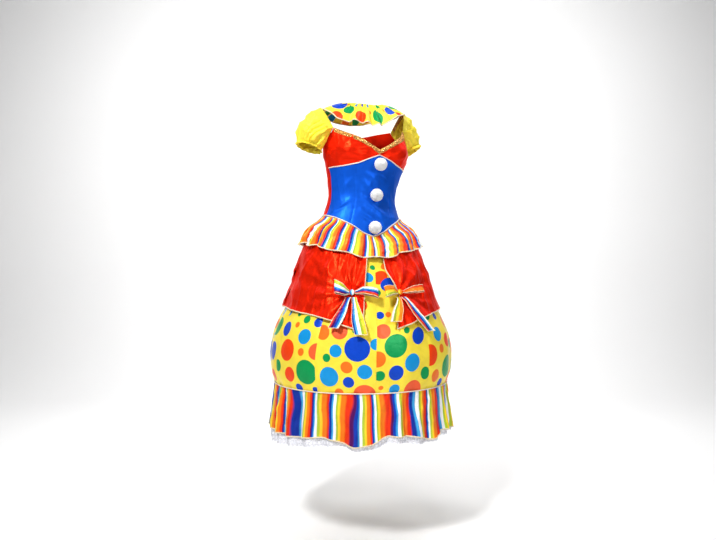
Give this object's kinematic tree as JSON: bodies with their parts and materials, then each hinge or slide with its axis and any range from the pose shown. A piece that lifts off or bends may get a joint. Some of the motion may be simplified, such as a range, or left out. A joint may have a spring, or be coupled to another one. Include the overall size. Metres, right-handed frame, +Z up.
{
  "type": "clown dress",
  "caption": "Hollow worn clown dress: fitted bodice with puff sleeves, dotted neck ruffle, peplum, tied-back overskirt, bubble skirt and hem flounce.",
  "frame": {"origin": "midway between the wearer's shoulder tops, where the dress hangs from the shoulders", "axes": "+Z up along the standing wearer, -Y to the wearer's front, +X to the wearer's left"},
  "size_m": [0.6606, 0.6446, 1.2003],
  "materials": {
    "red_satin": "glossy polyester satin",
    "blue_satin": "glossy polyester satin",
    "yellow_satin": "glossy polyester satin",
    "dotted_satin": "yellow satin printed with coloured dots",
    "striped_satin": "satin printed with upright rainbow stripes",
    "white_piping": "pale satin bias over cord",
    "white_wool": "fluffy wool locks",
    "gold_braid": "ruched sequin braid",
    "white_lace": "white net with a lace edge",
    "zip_tape": "red nylon coil",
    "zip_metal": "plated zip slider and pull"
  },
  "bodies": {
    "dress": {"bust_left": "red_satin", "bust_right": "red_satin", "bodice_centre_front": "blue_satin", "bodice_side_front_left": "blue_satin", "bodice_side_front_right": "blue_satin", "bodice_back_left": "red_satin", "bodice_back_right": "red_satin", "zip_coil": "zip_tape", "zip_slider": "zip_metal", "bubble_gore_1": "dotted_satin", "bubble_gore_2": "dotted_satin", "bubble_gore_3": "dotted_satin", "bubble_gore_4": "dotted_satin", "bubble_gore_5": "dotted_satin", "bubble_gore_6": "dotted_satin", "bubble_gore_7": "dotted_satin", "bubble_gore_8": "dotted_satin", "bubble_gore_9": "dotted_satin", "bubble_gore_10": "dotted_satin", "overskirt_front_left": "red_satin", "overskirt_front_right": "red_satin", "overskirt_back_left": "red_satin", "overskirt_back_right": "red_satin", "peplum_front": "striped_satin", "peplum_back": "striped_satin", "flounce_front": "striped_satin", "flounce_back": "striped_satin", "petticoat_front": "white_lace", "petticoat_back": "white_lace", "sleeve_left": "yellow_satin", "sleeve_right": "yellow_satin", "collar": "dotted_satin", "braid_front_left": "gold_braid", "braid_front_right": "gold_braid", "braid_back_left": "gold_braid", "braid_back_right": "gold_braid", "braid_shoulder_left": "gold_braid", "braid_shoulder_right": "gold_braid", "piping_underbust": "white_piping", "piping_waist": "white_piping", "piping_bubble": "white_piping", "bow_left_knot": "striped_satin", "bow_left_loop_inner": "striped_satin", "bow_left_loop_outer": "striped_satin", "bow_left_tail_inner": "striped_satin", "bow_left_tail_outer": "striped_satin", "bow_right_knot": "striped_satin", "bow_right_loop_inner": "striped_satin", "bow_right_loop_outer": "striped_satin", "bow_right_tail_inner": "striped_satin", "bow_right_tail_outer": "striped_satin", "pompom_1": "white_wool", "pompom_2": "white_wool", "pompom_3": "white_wool"},
    "zip_pull": {"zip_pull": "zip_metal"}
  },
  "joints": [
    {"name": "zip_pull_hinge", "type": "hinge", "parent": "dress", "child": "zip_pull", "pos_m": [-0.00227, 0.10501, -0.10553], "axis": [0.9877, 0.1564, 0], "range_deg": [0, 150]}
  ]
}
